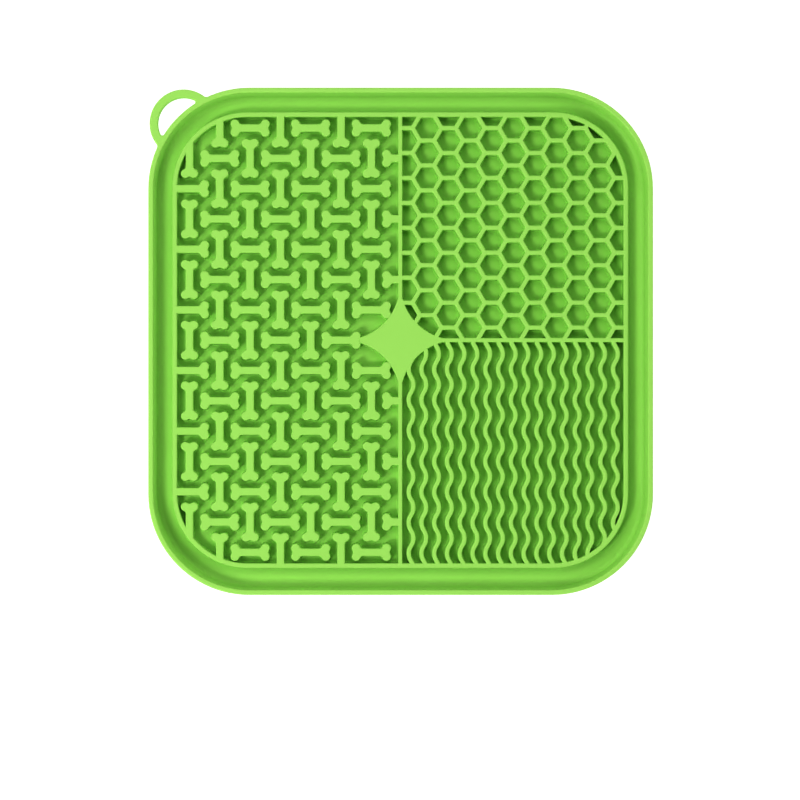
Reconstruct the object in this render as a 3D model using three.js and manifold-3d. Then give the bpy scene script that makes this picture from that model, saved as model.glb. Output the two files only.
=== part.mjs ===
// A lick mat moulded in one piece of silicone, lying flat on its plain underside with its relief
// upwards. A raised lip runs round a gutter, and an inner wall inside the gutter holds a field that
// two dividers and a four-pointed star split into bones, honeycomb and waves. A flat hanging loop
// grows from the lip at the back left corner.
//
// Units are millimetres. +X is to the right and +Y to the back as the mat lies, +Z is up, and the
// origin is the middle of the underside.

import * as THREE from "three";
import { mergeVertices } from "three/addons/utils/BufferGeometryUtils.js";
import Module from "manifold-3d";

// Driving dimensions of the tray
const matWidth = 200;
const matDepth = 201;
const matCorner = 40;
const matHeight = 10;
const lipWidth = 2;
const lipFootWidth = 2.8;
const floorHeight = 2.4;
const reliefTop = 6.9;

// Driving dimensions of the field and of the wall round it, which lie a little off the mat's middle
const fieldX = -0.15;
const fieldY = 0.55;
const fieldSide = 177.3;
const fieldCorner = 28;
const wallWidth = 2;

// Driving dimensions of the dividers and the star
const dividerWidth = 1.7;
const starReach = 17.1;
const starWaist = 9.4;
const starLeftReach = 15.8;

// Driving dimensions of the bones, which lie by turns along X and along Y on a square lattice
const bonePitch = 12.05;
const boneLength = 15.5;
const boneEndWidth = 6.6;
const boneTipWidth = 4.4;
const boneShaftWidth = 2.9;
const boneShoulder = 3.8;
const boneLobe = 5.7;
const boneColumns = 8;
const boneRows = 15;
const firstBoneColumnX = -83.9;

// Driving dimensions of the honeycomb, whose cells stand in columns with their flats front and back
const cellPitch = 9.92;
const cellFlats = 8.2;
const firstCellColumnX = 1.9;
const firstCellY = 0.6;
const cellColumns = 11;
const smallestCellWidth = 1.5;

// Driving dimensions of the waves, which are upright ribs that snake from the divider to the front
const wavePitch = 5.08;
const waveCount = 17;
const firstWaveX = 4.2;
const waveRibWidth = 1.7;
const waveSwing = 0.95;
const wavePeriod = 12.2;
const firstWaveTurnY = 1.15;

// Driving dimensions of the hanging loop
const loopX = -86;
const loopY = 86.3;
const loopOuterRadius = 13.3;
const loopInnerRadius = 10.2;
const loopThickness = 3;

// How far pieces of the moulding run into each other where they join
const overlap = 0.5;
const cornerSegments = 5;
const loopSegments = 18;

const wasm = await Module();
wasm.setup();

// The closed solid of a three.js geometry, ready to be joined and cut
function solidOf(geometry) {
  geometry.deleteAttribute("normal");
  geometry.deleteAttribute("uv");
  const merged = mergeVertices(geometry, 1e-4);
  const mesh = new wasm.Mesh({
    numProp: 3,
    vertProperties: new Float32Array(merged.attributes.position.array),
    triVerts: new Uint32Array(merged.index.array),
  });
  return new wasm.Manifold(mesh);
}

// The three.js geometry of a solid, with flat faces
function geometryOf(solid) {
  const mesh = solid.getMesh();
  const geometry = new THREE.BufferGeometry();
  geometry.setAttribute("position", new THREE.BufferAttribute(mesh.vertProperties, 3));
  geometry.setIndex(new THREE.BufferAttribute(mesh.triVerts, 1));
  const faceted = geometry.toNonIndexed();
  faceted.computeVertexNormals();
  return faceted;
}

function joined(solids) {
  return solids.reduce((whole, solid) => whole.add(solid));
}

// An upright prism of an outline between two heights
function prism(shape, low, high, curveSegments = cornerSegments) {
  const geometry = new THREE.ExtrudeGeometry(shape, {
    depth: high - low,
    bevelEnabled: false,
    curveSegments,
  });
  geometry.translate(0, 0, low);
  return solidOf(geometry);
}

function polygon(points) {
  return new THREE.Shape(points.map(([x, y]) => new THREE.Vector2(x, y)));
}

// A rectangle whose sides are measured from the middle of the field
function fieldRectangle(left, right, front, back) {
  return polygon([
    [fieldX + left, fieldY + front],
    [fieldX + right, fieldY + front],
    [fieldX + right, fieldY + back],
    [fieldX + left, fieldY + back],
  ]);
}

function roundedRectangle(x, y, width, depth, corner) {
  const alongX = width / 2 - corner;
  const alongY = depth / 2 - corner;
  const shape = new THREE.Shape();
  shape.absarc(x + alongX, y + alongY, corner, 0, Math.PI / 2);
  shape.absarc(x - alongX, y + alongY, corner, Math.PI / 2, Math.PI);
  shape.absarc(x - alongX, y - alongY, corner, Math.PI, 1.5 * Math.PI);
  shape.absarc(x + alongX, y - alongY, corner, 1.5 * Math.PI, 2 * Math.PI);
  shape.closePath();
  return shape;
}

// The mat's outline, drawn in by an inset
function matOutline(inset) {
  return roundedRectangle(0, 0, matWidth - 2 * inset, matDepth - 2 * inset, matCorner - inset);
}

// The field's outline, let out by a margin
function fieldOutline(margin) {
  const side = fieldSide + 2 * margin;
  return roundedRectangle(fieldX, fieldY, side, side, fieldCorner + margin);
}

// The hollow inside the lip, above the floor, whose sides lean out towards the top
function trayHollow() {
  const depth = matHeight - floorHeight;
  const geometry = new THREE.ExtrudeGeometry(matOutline(lipFootWidth), {
    depth: 1,
    bevelThickness: depth,
    bevelSize: lipFootWidth - lipWidth,
    bevelSegments: 1,
    curveSegments: cornerSegments,
  });
  geometry.translate(0, 0, matHeight);
  return solidOf(geometry);
}

// The floor and the lip, with the wall that parts the gutter from the field
function tray() {
  return prism(matOutline(0), 0, matHeight)
    .subtract(trayHollow())
    .add(relief(fieldOutline(wallWidth)))
    .subtract(prism(fieldOutline(0), floorHeight, matHeight));
}

// The prism of an outline that rises from just under the floor to the top of the relief
function relief(shape, curveSegments) {
  return prism(shape, floorHeight - overlap, reliefTop, curveSegments);
}

function dividers() {
  const half = dividerWidth / 2;
  const end = fieldSide / 2 + overlap;
  return relief(fieldRectangle(-half, half, -end, end))
    .add(relief(fieldRectangle(0, end, -half, half)));
}

// A star with four points, between four round arcs that each bend in towards the middle
function star() {
  const half = dividerWidth / 2;
  const chord = starReach - half;
  const waist = starWaist / Math.SQRT2;
  const sag = (starReach + half) / 2 - waist;
  const radius = (chord * chord) / 2 / (2 * Math.SQRT2 * sag) + (Math.SQRT2 * sag) / 2;
  const centre = waist + radius / Math.SQRT2;
  const start = Math.atan2(half - centre, starReach - centre);
  const end = Math.atan2(starReach - centre, half - centre);
  const shape = new THREE.Shape();
  for (let quarter = 0; quarter < 4; quarter += 1) {
    const turn = (quarter * Math.PI) / 2;
    const x = fieldX + centre * (Math.cos(turn) - Math.sin(turn));
    const y = fieldY + centre * (Math.sin(turn) + Math.cos(turn));
    shape.absarc(x, y, radius, start + turn, end + turn + 2 * Math.PI, true);
  }
  shape.closePath();
  const blunt = relief(fieldRectangle(-starLeftReach, starReach, -starReach, starReach));
  return relief(shape, cornerSegments).intersect(blunt);
}

// One end of a bone's outline along +X: two lobes, or the bare shaft
function boneEnd(lobed) {
  const tip = boneLength / 2;
  const shaft = boneShaftWidth / 2;
  const lobe = [[boneShoulder, shaft], [boneLobe, boneEndWidth / 2], [tip, boneTipWidth / 2]];
  const upper = lobed ? lobe : [[tip, shaft]];
  return [...upper.map(([a, b]) => [a, -b]), ...upper.toReversed()];
}

function bone(x, y, upright, firstLobed, lastLobed) {
  const outline = [...boneEnd(lastLobed), ...boneEnd(firstLobed).map(([a, b]) => [-a, -b])];
  const placed = outline.map(([a, b]) => (upright ? [x - b, y + a] : [x + a, y + b]));
  return relief(polygon(placed));
}

function insideLeftField(x, y) {
  const straight = fieldSide / 2 - fieldCorner;
  const pastX = Math.max(fieldX - x - straight, 0);
  const pastY = Math.max(Math.abs(y - fieldY) - straight, 0);
  return x < fieldX && Math.hypot(pastX, pastY) < fieldCorner;
}

// The bones of the left half. One whose end lies past the wall or the divider runs into it as a
// bare shaft, and there is none where both ends do, nor where the star lies.
function bones() {
  const solids = [];
  const reach = boneLength / 2;
  const middleRow = (boneRows - 1) / 2;
  for (let column = 0; column < boneColumns; column += 1) {
    for (let row = 0; row < boneRows; row += 1) {
      const x = firstBoneColumnX + bonePitch * column;
      const y = fieldY + bonePitch * (row - middleRow);
      const upright = (column + row) % 2 === 1;
      const alongX = upright ? 0 : reach;
      const alongY = upright ? reach : 0;
      const firstInside = insideLeftField(x - alongX, y - alongY);
      const lastInside = insideLeftField(x + alongX, y + alongY);
      const underStar = row === middleRow && x > -starLeftReach;
      if ((firstInside || lastInside) && !underStar) {
        solids.push(bone(x, y, upright, firstInside, lastInside));
      }
    }
  }
  const end = fieldSide / 2 + overlap;
  return joined(solids).intersect(relief(fieldRectangle(-end, 0, -end, end)));
}

function hexagon(x, y) {
  const corner = cellFlats / Math.sqrt(3);
  const points = [];
  for (let k = 0; k < 6; k += 1) {
    points.push([x + corner * Math.cos((k * Math.PI) / 3), y + corner * Math.sin((k * Math.PI) / 3)]);
  }
  return prism(polygon(points), floorHeight - 2 * overlap, matHeight);
}

// The honeycomb of the back right quarter: a block less its cells, where a cell that the wall or
// the divider cuts to a sliver is left filled
function honeycomb() {
  const half = dividerWidth / 2;
  const end = fieldSide / 2;
  const room = prism(fieldRectangle(half, end, half, end), floorHeight - 2 * overlap, matHeight)
    .intersect(prism(fieldOutline(0), floorHeight - 2 * overlap, matHeight))
    .subtract(star());
  const cells = [];
  const columnPitch = (cellPitch * Math.sqrt(3)) / 2;
  const rows = Math.ceil(end / cellPitch);
  for (let column = 0; column < cellColumns; column += 1) {
    const shift = column % 2 === 1 ? cellPitch / 2 : 0;
    for (let row = 0; row <= rows; row += 1) {
      const x = firstCellColumnX + columnPitch * column;
      const cell = hexagon(x, firstCellY + shift + cellPitch * row).intersect(room);
      if (!cell.isEmpty()) {
        const box = cell.boundingBox();
        const narrow = Math.min(box.max[0] - box.min[0], box.max[1] - box.min[1]);
        if (narrow > smallestCellWidth) {
          cells.push(cell);
        }
      }
    }
  }
  return relief(fieldRectangle(0, end + overlap, 0, end + overlap)).subtract(joined(cells));
}

// A rib that turns to the left and to the right by turns, every half period
function wave(x) {
  const half = waveRibWidth / 2;
  const left = [];
  const right = [];
  let swing = -waveSwing;
  for (let y = firstWaveTurnY; y > -(fieldSide + wavePeriod) / 2; y -= wavePeriod / 2) {
    left.push([x + swing - half, y]);
    right.unshift([x + swing + half, y]);
    swing = -swing;
  }
  return relief(polygon([...left, ...right]));
}

function waves() {
  const solids = [];
  for (let n = 0; n < waveCount; n += 1) {
    solids.push(wave(firstWaveX + wavePitch * n));
  }
  const end = fieldSide / 2 + overlap;
  return joined(solids).intersect(relief(fieldRectangle(0, end, -end, 0)));
}

function hangingLoop() {
  const ring = new THREE.Shape();
  ring.absarc(loopX, loopY, loopOuterRadius, 0, 2 * Math.PI);
  const hole = new THREE.Path();
  hole.absarc(loopX, loopY, loopInnerRadius, 0, 2 * Math.PI);
  ring.holes.push(hole);
  return prism(ring, matHeight - loopThickness, matHeight, loopSegments)
    .subtract(prism(matOutline(lipWidth / 2), 0, matHeight + overlap));
}

function lickMat() {
  const pattern = joined([dividers(), star(), bones(), honeycomb(), waves()])
    .intersect(relief(fieldOutline(overlap)));
  return joined([tray(), pattern, hangingLoop()]);
}

const silicone = new THREE.MeshStandardMaterial({ color: 0x86cf4e, roughness: 0.55, metalness: 0 });

const part = new THREE.Group();
const mat = new THREE.Mesh(geometryOf(lickMat()), silicone);
mat.name = "lick_mat";
part.add(mat);

export default part;
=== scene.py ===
"""A lime green silicone lick mat, one moulding, lying relief side up on a lit white table.

The sizes below are in millimetres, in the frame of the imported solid: +X to the right, +Y to the
back, +Z up, and the middle of the flat underside at the origin.
"""

import math

import bpy
from mathutils import Matrix, Vector


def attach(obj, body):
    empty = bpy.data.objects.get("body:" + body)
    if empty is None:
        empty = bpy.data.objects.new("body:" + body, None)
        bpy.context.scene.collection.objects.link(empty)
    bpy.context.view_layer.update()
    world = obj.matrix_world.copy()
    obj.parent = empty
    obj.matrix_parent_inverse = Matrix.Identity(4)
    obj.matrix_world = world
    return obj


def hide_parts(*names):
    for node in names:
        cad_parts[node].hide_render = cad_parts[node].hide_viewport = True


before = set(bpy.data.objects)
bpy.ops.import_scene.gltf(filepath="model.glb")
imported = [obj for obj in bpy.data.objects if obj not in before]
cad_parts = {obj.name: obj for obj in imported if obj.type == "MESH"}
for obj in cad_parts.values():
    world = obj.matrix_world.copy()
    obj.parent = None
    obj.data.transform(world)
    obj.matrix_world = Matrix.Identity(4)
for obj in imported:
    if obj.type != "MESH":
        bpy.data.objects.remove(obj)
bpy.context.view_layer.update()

MM = 0.001

# Places closer than this count as the same one
NEAR = 0.01

# The tray: a floor with a lip round it
MAT_WIDTH = 200
MAT_DEPTH = 201
MAT_CORNER = 40
LIP_TOP = 10
LIP_WIDTH = 2
LIP_LEAN = 0.8
LIP_EDGE = 0.55
LIP_FOOT = 2
UNDER_EDGE = 0.3
FLOOR = 2.4
CORNER_STEPS = 24

# The relief: how far its shapes start under the floor, and how they are rounded
ROOT = 2.0
RELIEF_TOP = 6.9
RELIEF_EDGE = 0.5
RELIEF_FOOT = 0.5
RELIEF_LEAN = 0.12
SKIRT = RELIEF_FOOT + RELIEF_LEAN / 2

# The field and the wall round it
FIELD_X = -0.15
FIELD_Y = 0.55
FIELD_SIDE = 177.3
FIELD_CORNER = 28
WALL_WIDTH = 2.1

# The dividers and the star
DIVIDER_WIDTH = 1.8
STAR_REACH = 17.1
STAR_LEFT_REACH = 16.4
STAR_ARC = 21.9
STAR_STEPS = 12

# The bones
BONE_PITCH = 12.05
BONE_COLUMNS = 8
BONE_ROWS = 15
FIRST_BONE_COLUMN_X = -83.95
BONE_REACH = 7.9
BONE_SHAFT = 1.6
LOBE_RADIUS = 1.85
LOBE_ALONG = 6.05
LOBE_ASIDE = 1.7
SHOULDER_RADIUS = 1.1
NOTCH_RADIUS = 1.2

# The honeycomb
CELL_PITCH = 9.92
CELL_FLATS = 8.1
CELL_CORNER = 0.6
CELL_COLUMNS = 11
CELL_ROWS = 10
FIRST_CELL_COLUMN_X = 1.9
FIRST_CELL_Y = 0.6
SMALLEST_CELL = 1.5

# The waves
WAVE_PITCH = 5.08
WAVE_COUNT = 17
FIRST_WAVE_X = 4.13
WAVE_RIB = 1.95
WAVE_SWING = 0.95
WAVE_PERIOD = 12.2
FIRST_WAVE_TURN_Y = 1.15
WAVE_STEPS = 6

# The hanging loop
LOOP_X = -86
LOOP_Y = 86.3
LOOP_RADIUS = 13.5
LOOP_HOLE = 10.2
LOOP_THICK = 3
LOOP_UNDER_EDGE = 0.4
LOOP_TIP = 0.9
LOOP_FILLET = 1.5
LOOP_ROOT = 1.2

# The ground, which starts a little under the mat, so that the two don't share one plane
TABLE_GAP = 0.05
TABLE_SIDE = 8000
WALL_AWAY = 3000
WALL_HEIGHT = 600

# The camera, straight above a place a little in front of the mat's middle
CAMERA_X = -0.26
CAMERA_Y = -23.25
CAMERA_HEIGHT = 1010
CAMERA_LENS = 113.6


def deselect_all():
    bpy.ops.object.select_all(action="DESELECT")


def edit(piece):
    """Opens a piece on its own in edit mode."""
    if bpy.context.mode != "OBJECT":
        close()
    deselect_all()
    piece.select_set(True)
    bpy.context.view_layer.objects.active = piece
    bpy.ops.object.mode_set(mode="EDIT")


def close():
    bpy.ops.object.mode_set(mode="OBJECT")


def pick(piece, wanted):
    """Opens a piece with only the vertices selected whose place passes a test, in millimetres."""
    edit(piece)
    bpy.ops.mesh.select_mode(type="VERT")
    bpy.ops.mesh.select_all(action="DESELECT")
    close()
    for vertex in piece.data.vertices:
        vertex.select = wanted(vertex.co / MM)
    edit(piece)


def close_facing_out():
    bpy.ops.mesh.select_all(action="SELECT")
    bpy.ops.mesh.normals_make_consistent(inside=False)
    close()


def started(name):
    """The primitive just added, named, with its place put into its mesh, open in edit mode."""
    piece = bpy.context.object
    piece.name = name
    piece.data.name = name
    bpy.ops.object.transform_apply(location=True, rotation=True, scale=True)
    bpy.ops.object.mode_set(mode="EDIT")
    bpy.ops.mesh.select_all(action="SELECT")
    return piece


def point(name, x, y, z):
    """A piece of one vertex, from which an outline is drawn, left open and selected."""
    deselect_all()
    bpy.ops.mesh.primitive_plane_add(size=MM, location=(x * MM, y * MM, z * MM))
    piece = started(name)
    bpy.ops.mesh.merge(type="CENTER")
    return piece


def fill_outline():
    bpy.ops.mesh.select_all(action="SELECT")
    bpy.ops.mesh.edge_face_add()
    bpy.ops.mesh.select_all(action="SELECT")


def extrude(x=0.0, y=0.0, z=0.0):
    bpy.ops.mesh.extrude_region_move(
        TRANSFORM_OT_translate={"value": (x * MM, y * MM, z * MM)}
    )


def spin(x, y, z, angle, steps):
    """Sweeps what is selected anticlockwise round an upright axis, and leaves the far end selected.
    The operator itself counts clockwise."""
    bpy.ops.mesh.spin(
        steps=steps, angle=-angle, center=(x * MM, y * MM, z * MM), axis=(0, 0, 1)
    )


def turn_about_middle(angle):
    """Turns what is selected anticlockwise about the upright axis through the origin. With no
    window the operator counts clockwise."""
    bpy.ops.transform.rotate(value=-angle, orient_axis="Z", center_override=(0, 0, 0))


def step_in(rows):
    """Draws the selected face in and up, row by row, each row (inward, up) from the last."""
    for inward, up in rows:
        bpy.ops.mesh.inset(
            thickness=inward * MM, depth=up * MM, use_even_offset=True, use_boundary=True
        )


def edge_rows(radius, steps=3):
    """A round edge, from upright to level."""
    turns = [math.pi / 2 * k / steps for k in range(steps + 1)]
    return [
        (radius * (math.cos(a) - math.cos(b)), radius * (math.sin(b) - math.sin(a)))
        for a, b in zip(turns, turns[1:])
    ]


def foot_rows(radius, steps=2):
    """A fillet, from level to upright."""
    turns = [math.pi / 2 * k / steps for k in range(steps + 1)]
    return [
        (radius * (math.sin(b) - math.sin(a)), radius * (math.cos(a) - math.cos(b)))
        for a, b in zip(turns, turns[1:])
    ]


def downward(rows):
    return [(inward, -up) for inward, up in rows]


def raise_relief(piece):
    """Turns the selected flat outline at the relief's root into a raised shape with soft edges."""
    wall = RELIEF_TOP - FLOOR - RELIEF_FOOT - RELIEF_EDGE
    extrude(z=FLOOR - ROOT)
    close_facing_out()
    pick(piece, lambda place: place.z > FLOOR - NEAR)
    step_in([*foot_rows(RELIEF_FOOT), (RELIEF_LEAN, wall), *edge_rows(RELIEF_EDGE)])
    close_facing_out()


def round_plate(name, x, y, width, depth, corner, z):
    """A flat face with round corners, left open in edit mode and selected."""
    deselect_all()
    bpy.ops.mesh.primitive_plane_add(size=MM, location=(x * MM, y * MM, z * MM))
    plate = started(name)
    bpy.ops.transform.resize(value=(width, depth, 1))
    bpy.ops.mesh.bevel(
        offset=corner * MM, segments=CORNER_STEPS, affect="VERTICES", profile=0.5
    )
    bpy.ops.mesh.select_all(action="SELECT")
    return plate


def mat_plate(name, inset, z):
    corner = MAT_CORNER - inset
    return round_plate(name, 0, 0, MAT_WIDTH - 2 * inset, MAT_DEPTH - 2 * inset, corner, z)


def field_plate(name, margin, z):
    side = FIELD_SIDE + 2 * margin
    return round_plate(name, FIELD_X, FIELD_Y, side, side, FIELD_CORNER + margin, z)


def combine(piece, tool, how):
    """Unites a piece with a tool, cuts it, or keeps what both share, and removes the tool."""
    deselect_all()
    bpy.context.view_layer.objects.active = piece
    piece.select_set(True)
    change = piece.modifiers.new(how.lower(), "BOOLEAN")
    change.operation = how
    change.solver = "MANIFOLD"
    change.object = tool
    bpy.ops.object.modifier_apply(modifier=change.name)
    bpy.data.objects.remove(tool, do_unlink=True)
    return piece


def copied(piece, name, x=0.0, y=0.0, turn=0):
    """A copy with its own mesh, turned about the upright axis by degrees, then moved."""
    twin = piece.copy()
    twin.data = piece.data.copy()
    twin.name = name
    bpy.context.scene.collection.objects.link(twin)
    edit(twin)
    bpy.ops.mesh.select_all(action="SELECT")
    if turn:
        turn_about_middle(math.radians(turn))
    bpy.ops.transform.translate(value=(x * MM, y * MM, 0))
    close()
    return twin


def joined(pieces, name):
    deselect_all()
    for piece in pieces:
        piece.select_set(True)
    bpy.context.view_layer.objects.active = pieces[0]
    bpy.ops.object.join()
    pieces[0].name = name
    return pieces[0]


def removed(*pieces):
    for piece in pieces:
        bpy.data.objects.remove(piece, do_unlink=True)


def tray():
    """The floor with its lip, stepped up the outside, over the top and down inside."""
    mat = mat_plate("lick_mat_moulding", 0, UNDER_EDGE)
    extrude(z=LIP_TOP - LIP_EDGE - UNDER_EDGE)
    drop = LIP_TOP - FLOOR - LIP_EDGE - LIP_FOOT
    step_in(edge_rows(LIP_EDGE, 4))
    step_in([(LIP_WIDTH - 2 * LIP_EDGE, 0)])
    step_in(downward(foot_rows(LIP_EDGE, 4)))
    step_in([(LIP_LEAN, -drop)])
    step_in(downward(edge_rows(LIP_FOOT, 5)))
    close_facing_out()
    pick(mat, lambda place: place.z < UNDER_EDGE + NEAR)
    step_in(edge_rows(UNDER_EDGE))
    close_facing_out()
    return mat


def field_wall():
    """The wall round the field: a ring of faces between two outlines, raised on both sides."""
    ring = field_plate("field_wall", WALL_WIDTH + SKIRT, ROOT)
    step_in([(WALL_WIDTH + 2 * SKIRT, 0)])
    bpy.ops.mesh.delete(type="FACE")
    bpy.ops.mesh.select_all(action="SELECT")
    raise_relief(ring)
    return ring


def divider(name, left, right, front, back):
    """A straight full-height divider between four sides measured from the field's middle."""
    deselect_all()
    bpy.ops.mesh.primitive_plane_add(size=MM)
    bar = started(name)
    bpy.ops.transform.resize(value=(right - left + 2 * SKIRT, back - front + 2 * SKIRT, 1))
    x = FIELD_X + (left + right) / 2
    y = FIELD_Y + (front + back) / 2
    bpy.ops.transform.translate(value=(x * MM, y * MM, ROOT * MM))
    raise_relief(bar)
    return bar


def dividers():
    half = DIVIDER_WIDTH / 2
    end = FIELD_SIDE / 2 + WALL_WIDTH / 2
    upright = divider("long_divider", -half, half, -end, end)
    level = divider("short_divider", 0, end, -half, half)
    return combine(upright, level, "UNION")


def star_hollow():
    """How far each of the star's four round hollows has its centre aside of both dividers, and
    half the angle that its arc spans."""
    half = DIVIDER_WIDTH / 2
    chord = (STAR_REACH - half) * math.sqrt(2)
    away = (STAR_REACH + half) / math.sqrt(2) + math.sqrt(STAR_ARC**2 - chord**2 / 4)
    return away / math.sqrt(2), math.asin(chord / 2 / STAR_ARC)


def star():
    """The flat four-pointed star between four round hollows, its left point cut blunt."""
    centre, spread = star_hollow()
    radius = STAR_ARC - SKIRT
    first = math.radians(225) + spread
    start_y = centre + radius * math.sin(first)
    piece = point("star", centre + radius * math.cos(first), start_y, ROOT)
    for quarter in range(4):
        turn = quarter * math.pi / 2
        x = centre * (math.cos(turn) - math.sin(turn))
        y = centre * (math.sin(turn) + math.cos(turn))
        spin(x, y, ROOT, -2 * spread, STAR_STEPS)
        if quarter < 3:
            extrude(x=-2 * start_y * math.cos(turn), y=-2 * start_y * math.sin(turn))
    fill_outline()
    bpy.ops.mesh.bisect(
        plane_co=(-(STAR_LEFT_REACH + SKIRT) * MM, 0, 0),
        plane_no=(1, 0, 0),
        clear_inner=True,
    )
    bpy.ops.mesh.select_all(action="SELECT")
    bpy.ops.transform.translate(value=(FIELD_X * MM, FIELD_Y * MM, 0))
    raise_relief(piece)
    return piece


def bone_quarter(name):
    """A quarter of a bone's outline at the foot of its skirt, from the middle of the shaft's
    side, round the shoulder and the lobe, to the middle of the notch between the lobes."""
    side = BONE_SHAFT + SKIRT
    shoulder_y = BONE_SHAFT + SHOULDER_RADIUS
    apart = LOBE_RADIUS + SHOULDER_RADIUS
    shoulder_x = LOBE_ALONG - math.sqrt(apart**2 - (shoulder_y - LOBE_ASIDE) ** 2)
    shoulder_turn = math.atan2(LOBE_ASIDE - shoulder_y, LOBE_ALONG - shoulder_x) + math.pi / 2
    notch_apart = LOBE_RADIUS + NOTCH_RADIUS
    notch_x = LOBE_ALONG + math.sqrt(notch_apart**2 - LOBE_ASIDE**2)
    notch_turn = math.asin(LOBE_ASIDE / notch_apart)
    lobe_turn = math.pi / 2 + shoulder_turn + notch_turn
    piece = point(name, 0, side, ROOT)
    extrude(x=shoulder_x)
    spin(shoulder_x, shoulder_y, ROOT, shoulder_turn, 3)
    spin(LOBE_ALONG, LOBE_ASIDE, ROOT, -lobe_turn, 10)
    spin(notch_x, 0, ROOT, notch_turn, 2)
    close()
    return piece


def mirrored(piece, across_x, across_y, across_z=False):
    """A piece made whole with its mirror image across the middle planes that are asked for."""
    deselect_all()
    bpy.context.view_layer.objects.active = piece
    piece.select_set(True)
    change = piece.modifiers.new("mirror", "MIRROR")
    change.use_axis = (across_x, across_y, across_z)
    change.merge_threshold = NEAR * MM
    bpy.ops.object.modifier_apply(modifier=change.name)
    return piece


def whole_bone():
    piece = mirrored(bone_quarter("bone"), True, True)
    edit(piece)
    fill_outline()
    raise_relief(piece)
    return piece


def half_bone():
    """A bone whose end along -X is a bare shaft, for one that runs into a wall."""
    piece = mirrored(bone_quarter("half_bone"), False, True)
    pick(piece, lambda place: place.x < NEAR)
    extrude(x=-BONE_REACH)
    fill_outline()
    raise_relief(piece)
    return piece


def inside_left_field(x, y):
    straight = FIELD_SIDE / 2 - FIELD_CORNER
    past_x = max(FIELD_X - x - straight, 0)
    past_y = max(abs(y - FIELD_Y) - straight, 0)
    return x < FIELD_X and math.hypot(past_x, past_y) < FIELD_CORNER


def bones():
    """The bones of the left half, lying by turns across and upright."""
    whole = whole_bone()
    half = half_bone()
    middle_row = (BONE_ROWS - 1) // 2
    made = []
    for column in range(BONE_COLUMNS):
        for row in range(BONE_ROWS):
            x = FIRST_BONE_COLUMN_X + BONE_PITCH * column
            y = FIELD_Y + BONE_PITCH * (row - middle_row)
            turn = 90 * ((column + row) % 2)
            along_x = 0 if turn else BONE_REACH
            along_y = BONE_REACH if turn else 0
            first = inside_left_field(x - along_x, y - along_y)
            last = inside_left_field(x + along_x, y + along_y)
            under_star = row == middle_row and x > -STAR_LEFT_REACH
            if under_star or not (first or last):
                continue
            if first and last:
                made.append(copied(whole, f"bone_{column}_{row}", x, y, turn))
            else:
                flip = 180 if first else 0
                made.append(copied(half, f"bone_{column}_{row}", x, y, turn + flip))
    removed(whole, half)
    field = joined(made, "bones")
    plate = field_plate("bones_limit", WALL_WIDTH / 2, ROOT - 1)
    bpy.ops.mesh.bisect(
        plane_co=(FIELD_X * MM, 0, 0), plane_no=(1, 0, 0), clear_outer=True
    )
    bpy.ops.mesh.select_all(action="SELECT")
    extrude(z=LIP_TOP)
    close_facing_out()
    return combine(field, plate, "INTERSECT")


def in_honeycomb(x, y):
    """Whether a point of the back right quarter is clear of the wall, the dividers and the star."""
    aside = x - FIELD_X
    along = y - FIELD_Y
    half = DIVIDER_WIDTH / 2
    straight = FIELD_SIDE / 2 - FIELD_CORNER
    past = math.hypot(max(aside - straight, 0), max(along - straight, 0))
    centre, _ = star_hollow()
    near_star = aside < STAR_REACH and along < STAR_REACH
    in_star = near_star and math.hypot(aside - centre, along - centre) > STAR_ARC
    return min(aside, along) > half and past < FIELD_CORNER and not in_star


def shows(x, y):
    """Whether more than a sliver of the cell at a place would show."""
    step = 0.25
    reach = CELL_FLATS / math.sqrt(3)
    steps = int(reach / step) + 1
    found = []
    for i in range(-steps, steps + 1):
        for j in range(-steps, steps + 1):
            a = i * step
            b = j * step
            slant = math.sqrt(3) / 2 * abs(a) + abs(b) / 2
            if max(abs(b), slant) < CELL_FLATS / 2 and in_honeycomb(x + a, y + b):
                found.append((a, b))
    if not found:
        return False
    wide = max(a for a, _ in found) - min(a for a, _ in found)
    long = max(b for _, b in found) - min(b for _, b in found)
    return min(wide, long) > SMALLEST_CELL


def cell():
    """The hollow of one cell at the middle, from above the relief down to the floor, with the
    round edge at its mouth and the fillet at its foot."""
    above = 0.6
    deselect_all()
    bpy.ops.mesh.primitive_circle_add(
        vertices=6,
        radius=(CELL_FLATS / 2 + RELIEF_EDGE) * 2 / math.sqrt(3) * MM,
        fill_type="NGON",
        location=(0, 0, (RELIEF_TOP + above) * MM),
        rotation=(0, 0, math.radians(30)),
    )
    hollow = started("cell")
    bpy.ops.mesh.bevel(offset=CELL_CORNER * MM, segments=3, affect="VERTICES", profile=0.5)
    bpy.ops.mesh.select_all(action="SELECT")
    bpy.ops.mesh.normals_make_consistent(inside=True)
    extrude(z=-above)
    depth = RELIEF_TOP - FLOOR - RELIEF_EDGE - RELIEF_FOOT
    step_in([*foot_rows(RELIEF_EDGE, 3), (RELIEF_LEAN, depth), *edge_rows(RELIEF_FOOT, 2)])
    close_facing_out()
    return hollow


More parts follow.
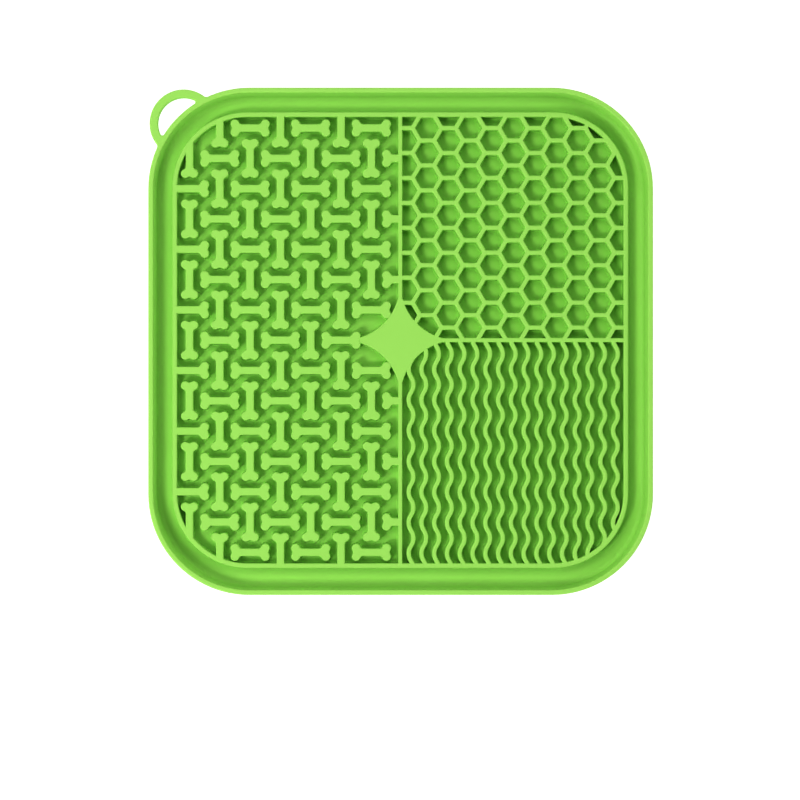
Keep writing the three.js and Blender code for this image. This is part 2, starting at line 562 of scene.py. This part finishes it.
def honeycomb():
    """The back right quarter as a block, less its cells."""
    block = field_plate("honeycomb", WALL_WIDTH / 2, ROOT)
    for normal in ((1, 0, 0), (0, 1, 0)):
        bpy.ops.mesh.select_all(action="SELECT")
        bpy.ops.mesh.bisect(
            plane_co=(FIELD_X * MM, FIELD_Y * MM, 0), plane_no=normal, clear_inner=True
        )
    bpy.ops.mesh.select_all(action="SELECT")
    extrude(z=RELIEF_TOP - ROOT)
    close_facing_out()
    hollow = cell()
    cells = []
    for column in range(CELL_COLUMNS):
        for row in range(CELL_ROWS):
            x = FIRST_CELL_COLUMN_X + CELL_PITCH * math.sqrt(3) / 2 * column
            y = FIRST_CELL_Y + CELL_PITCH * (row + 0.5 * (column % 2))
            if shows(x, y):
                cells.append(copied(hollow, f"cell_{column}_{row}", x, y))
    removed(hollow)
    return combine(block, joined(cells, "cells"), "DIFFERENCE")


def wave():
    """One rib of the front right quarter about X = 0. A cross edge is spun round one side and then
    the other, so that the rib keeps its width and bends smoothly."""
    half_period = WAVE_PERIOD / 2
    radius = (half_period**2 / 4 + WAVE_SWING**2) / (2 * WAVE_SWING)
    turn = 2 * math.asin(half_period / 2 / radius)
    lead = 1
    width = WAVE_RIB + 2 * SKIRT
    rib = point("wave", -WAVE_SWING - width / 2, FIRST_WAVE_TURN_Y + lead, ROOT)
    extrude(x=width)
    bpy.ops.mesh.select_all(action="SELECT")
    extrude(y=-lead)
    y = FIRST_WAVE_TURN_Y
    side = -1
    spin(-WAVE_SWING + radius, y, ROOT, turn / 2, WAVE_STEPS // 2)
    while y > -(FIELD_SIDE + WAVE_PERIOD) / 2:
        y -= half_period
        side = -side
        spin(side * (WAVE_SWING - radius), y, ROOT, -side * turn, WAVE_STEPS)
    bpy.ops.mesh.select_all(action="SELECT")
    raise_relief(rib)
    return rib


def waves():
    """The wavy ribs of the front right quarter."""
    rib = wave()
    made = [
        copied(rib, f"wave_{n}", FIRST_WAVE_X + WAVE_PITCH * n) for n in range(WAVE_COUNT)
    ]
    removed(rib)
    field = joined(made, "waves")
    plate = field_plate("waves_limit", WALL_WIDTH / 2, ROOT - 1)
    bpy.ops.mesh.bisect(plane_co=(0, FIELD_Y * MM, 0), plane_no=(0, 1, 0), clear_outer=True)
    bpy.ops.mesh.select_all(action="SELECT")
    extrude(z=LIP_TOP)
    close_facing_out()
    return combine(field, plate, "INTERSECT")


def loop_corner():
    """The centre of the mat's back left corner, its distance from the loop's centre, and the
    heading from the one to the other."""
    x = MAT_CORNER - MAT_WIDTH / 2
    y = MAT_DEPTH / 2 - MAT_CORNER
    return x, y, math.hypot(LOOP_X - x, LOOP_Y - y), math.atan2(LOOP_Y - y, LOOP_X - x)


def loop_angles(from_corner, from_loop):
    """The angles at the corner's centre and at the loop's, to a point at these distances."""
    _, _, reach, _ = loop_corner()
    corner = (reach**2 + from_corner**2 - from_loop**2) / (2 * reach * from_corner)
    loop = (reach**2 + from_loop**2 - from_corner**2) / (2 * reach * from_loop)
    return math.acos(corner), math.acos(loop)


def placed_at_corner(piece, z):
    """Turns a shape made along +X about the corner's centre to the loop's heading."""
    x, y, _, heading = loop_corner()
    edit(piece)
    bpy.ops.mesh.select_all(action="SELECT")
    turn_about_middle(heading)
    bpy.ops.transform.translate(value=(x * MM, y * MM, z * MM))
    close_facing_out()
    return piece


def loop_ring():
    """The loop's outer shape, with fillets to the lip and a root inside the lip."""
    _, _, reach, _ = loop_corner()
    fillet = LOOP_FILLET
    corner, loop = loop_angles(MAT_CORNER + fillet, LOOP_RADIUS + fillet)
    ring = point("hanging_loop", MAT_CORNER - LOOP_ROOT, 0, 0)
    spin(0, 0, 0, corner, 8)
    extrude(x=LOOP_ROOT * math.cos(corner), y=LOOP_ROOT * math.sin(corner))
    x = (MAT_CORNER + fillet) * math.cos(corner)
    y = (MAT_CORNER + fillet) * math.sin(corner)
    spin(x, y, 0, math.pi - corner - loop, 5)
    spin(reach, 0, 0, loop - math.pi, 30)
    close()
    mirrored(ring, False, True)
    edit(ring)
    fill_outline()
    extrude(z=LOOP_THICK - LIP_EDGE - LOOP_UNDER_EDGE)
    close_facing_out()
    pick(ring, lambda place: place.z > NEAR)
    step_in(edge_rows(LIP_EDGE, 4))
    pick(ring, lambda place: place.z < NEAR)
    step_in(edge_rows(LOOP_UNDER_EDGE, 3))
    close()
    return placed_at_corner(ring, LIP_TOP - LOOP_THICK + LOOP_UNDER_EDGE)


def loop_hole():
    """The loop's hole with round ends, its upper half made from the wide mouth downwards and
    mirrored, so that the loop's edge is round above and below."""
    _, _, reach, _ = loop_corner()
    corner, loop = loop_angles(MAT_CORNER + LOOP_TIP, LOOP_HOLE - LOOP_TIP)
    above = 0.5
    top = LOOP_THICK / 2 + above
    hole = point("loop_hole", MAT_CORNER - LIP_EDGE, 0, top)
    spin(0, 0, top, corner, 8)
    x = (MAT_CORNER + LOOP_TIP) * math.cos(corner)
    y = (MAT_CORNER + LOOP_TIP) * math.sin(corner)
    spin(x, y, top, -corner - loop, 8)
    spin(reach, 0, top, loop - math.pi, 26)
    close()
    mirrored(hole, False, True)
    edit(hole)
    fill_outline()
    extrude(z=-above)
    close_facing_out()
    pick(hole, lambda place: place.z < LOOP_THICK / 2 + NEAR)
    step_in([*foot_rows(LIP_EDGE, 4), (0, LOOP_THICK / 2 - LIP_EDGE)])
    bpy.ops.mesh.delete(type="FACE")
    close()
    mirrored(hole, False, False, True)
    return placed_at_corner(hole, LIP_TOP - LOOP_THICK / 2)


def hanging_loop():
    """The flat loop outside the back left corner."""
    return combine(loop_ring(), loop_hole(), "DIFFERENCE")


def finished(piece):
    """Closes hairline seams between the united parts and shades the round edges smooth."""
    edit(piece)
    bpy.ops.mesh.select_all(action="SELECT")
    bpy.ops.mesh.remove_doubles(threshold=0.002 * MM)
    close_facing_out()
    bpy.ops.object.shade_smooth_by_angle(angle=math.radians(38))
    weighted = piece.modifiers.new("flat faces stay flat", "WEIGHTED_NORMAL")
    weighted.keep_sharp = True
    bpy.ops.object.modifier_apply(modifier=weighted.name)
    return piece


def lick_mat():
    mat = tray()
    parts = (hanging_loop(), field_wall(), dividers(), star(), bones(), honeycomb(), waves())
    for part in parts:
        combine(mat, part, "UNION")
    return finished(mat)


def linear(colour):
    """The linear colour of an sRGB hex value."""
    channels = [int(colour[k : k + 2], 16) / 255 for k in (1, 3, 5)]
    return [c / 12.92 if c <= 0.04045 else ((c + 0.055) / 1.055) ** 2.4 for c in channels] + [1]


def add_node(tree, kind, settings=None, inputs=None, links=None):
    """Adds a node with its settings, its plain input values and its links from other nodes."""
    node = tree.nodes.new(kind)
    for name, value in (settings or {}).items():
        setattr(node, name, value)
    for name, value in (inputs or {}).items():
        node.inputs[name].default_value = value
    for name, (source, output) in (links or {}).items():
        tree.links.new(source.outputs[output], node.inputs[name])
    return node


def moulded_silicone():
    """Lime green silicone rubber, pressed in a spark-eroded steel mould. To the eye it is an even,
    slightly milky colour with a soft satin sheen, faint clouds where the pigment is a little
    thinner, and a fine matt grain that breaks up the highlights on the round edges."""
    material = bpy.data.materials.new("moulded lime silicone rubber")
    material.use_nodes = True
    tree = material.node_tree
    shader = tree.nodes["Principled BSDF"]
    shader.inputs["IOR"].default_value = 1.41
    shader.inputs["Specular IOR Level"].default_value = 0.25
    place = add_node(tree, "ShaderNodeTexCoord")

    def noise(size, detail):
        """Even noise whose spots are about this many millimetres across."""
        return add_node(
            tree,
            "ShaderNodeTexNoise",
            inputs={"Scale": 1 / (size * MM), "Detail": detail, "Roughness": 0.55},
            links={"Vector": (place, "Object")},
        )

    # Pigment clouds of about 25 mm, and the tint that they turn the colour to
    clouds = noise(25, 3.0)
    tint = add_node(
        tree,
        "ShaderNodeMix",
        settings={"data_type": "RGBA"},
        links={"Factor": (clouds, "Fac")},
    )
    tint.inputs["A"].default_value = linear("#afde7c")
    tint.inputs["B"].default_value = linear("#b2e081")
    tree.links.new(tint.outputs["Result"], shader.inputs["Base Color"])

    # Patches of about 6 mm where the mould's texture is a little more worn
    worn = noise(6, 2.0)
    gloss = add_node(
        tree,
        "ShaderNodeMapRange",
        inputs={"To Min": 0.42, "To Max": 0.58},
        links={"Value": (worn, "Fac")},
    )
    tree.links.new(gloss.outputs["Result"], shader.inputs["Roughness"])

    # Spark grain. The real one is near 0.1 mm, and it is drawn at 0.5 mm so that it shows
    grain = noise(0.5, 1.0)
    bump = add_node(
        tree,
        "ShaderNodeBump",
        inputs={"Strength": 0.35, "Distance": 0.03 * MM},
        links={"Height": (grain, "Fac")},
    )
    tree.links.new(bump.outputs["Normal"], shader.inputs["Normal"])
    return material


def lit_acrylic():
    """Matt opal acrylic lit from behind, an even white with no shine."""
    material = bpy.data.materials.new("lit matt opal acrylic")
    material.use_nodes = True
    shader = material.node_tree.nodes["Principled BSDF"]
    shader.inputs["Base Color"].default_value = linear("#7c7c7c")
    shader.inputs["Roughness"].default_value = 0.8
    shader.inputs["Specular IOR Level"].default_value = 0
    shader.inputs["Emission Color"].default_value = (1, 1, 1, 1)
    shader.inputs["Emission Strength"].default_value = 0.95
    return material


def white_ground():
    """A large light table, bright enough to hide every shadow on it, and a low wall of the same
    round it that stands behind the mat in views from the side."""
    deselect_all()
    bpy.ops.mesh.primitive_plane_add(size=TABLE_SIDE * MM, location=(0, 0, -TABLE_GAP * MM))
    table = bpy.context.object
    table.name = "white_table"
    bpy.ops.mesh.primitive_cylinder_add(
        vertices=96,
        radius=WALL_AWAY * MM,
        depth=WALL_HEIGHT * MM,
        end_fill_type="NOTHING",
        location=(0, 0, WALL_HEIGHT / 2 * MM),
    )
    wall = bpy.context.object
    wall.name = "white_wall"
    acrylic = lit_acrylic()
    for piece in (table, wall):
        piece.data.materials.append(acrylic)


def softbox(name, first_end, last_end, distance, wide, level):
    """A long softbox over the table, between two directions given as (x, y) for each unit of
    height. Level is the light that it gives a flat face in the middle, in parts of full white."""
    ends = [Vector((*end, 1)).normalized() * distance for end in (first_end, last_end)]
    middle = (ends[0] + ends[1]) / 2
    up = middle.normalized()
    along = ends[1] - ends[0]
    length = along.length
    along = (along - along.dot(up) * up).normalized()
    data = bpy.data.lights.new(name, "AREA")
    data.shape = "RECTANGLE"
    data.size = length
    data.size_y = wide
    data.energy = level * math.pi**2 * middle.length_squared / up.z
    light = bpy.data.objects.new(name, data)
    turned = Matrix((along, up.cross(along), up)).transposed().to_4x4()
    turned.translation = middle
    light.matrix_world = turned
    bpy.context.scene.collection.objects.link(light)


def studio():
    """A key softbox at the front left, weaker ones on the other sides, low ones all round and soft
    daylight over everything."""
    softbox("key_softbox", (-0.9, -0.53), (-0.47, -0.53), 1.2, 0.25, 0.315)
    softbox("left_softbox", (-0.75, -0.25), (-0.75, 0.35), 1.2, 0.2, 0.12)
    softbox("back_softbox", (-0.6, 0.6), (0.6, 0.6), 1.2, 0.35, 0.21)
    softbox("right_softbox", (0.9, -0.4), (0.9, 0.4), 1.2, 0.25, 0.045)
    softbox("low_left_softbox", (-2.2, -0.5), (-2.2, 0.5), 1.5, 0.5, 0.08)
    softbox("low_right_softbox", (2.2, -0.5), (2.2, 0.5), 1.5, 0.5, 0.12)
    softbox("low_front_softbox", (-0.5, -2.2), (0.5, -2.2), 1.5, 0.5, 0.095)
    softbox("low_back_softbox", (-0.5, 2.2), (0.5, 2.2), 1.5, 0.5, 0.065)
    world = bpy.data.worlds.new("soft daylight")
    bpy.context.scene.world = world
    world.use_nodes = True
    world.node_tree.nodes["Background"].inputs["Color"].default_value = (1, 1, 1, 1)
    world.node_tree.nodes["Background"].inputs["Strength"].default_value = 0.13


def camera():
    """Looks straight down, with the mat in the upper part of the picture."""
    data = bpy.data.cameras.new("camera")
    data.sensor_width = 36
    data.lens = CAMERA_LENS
    camera = bpy.data.objects.new("camera", data)
    camera.location = (CAMERA_X * MM, CAMERA_Y * MM, CAMERA_HEIGHT * MM)
    bpy.context.scene.collection.objects.link(camera)
    bpy.context.scene.camera = camera


mat = lick_mat()
mat.data.materials.clear()
mat.data.materials.append(moulded_silicone())
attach(mat, "root")
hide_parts("lick_mat")

white_ground()
studio()
camera()
bpy.context.scene.view_settings.view_transform = "Standard"
bpy.context.scene.view_settings.gamma = 0.63
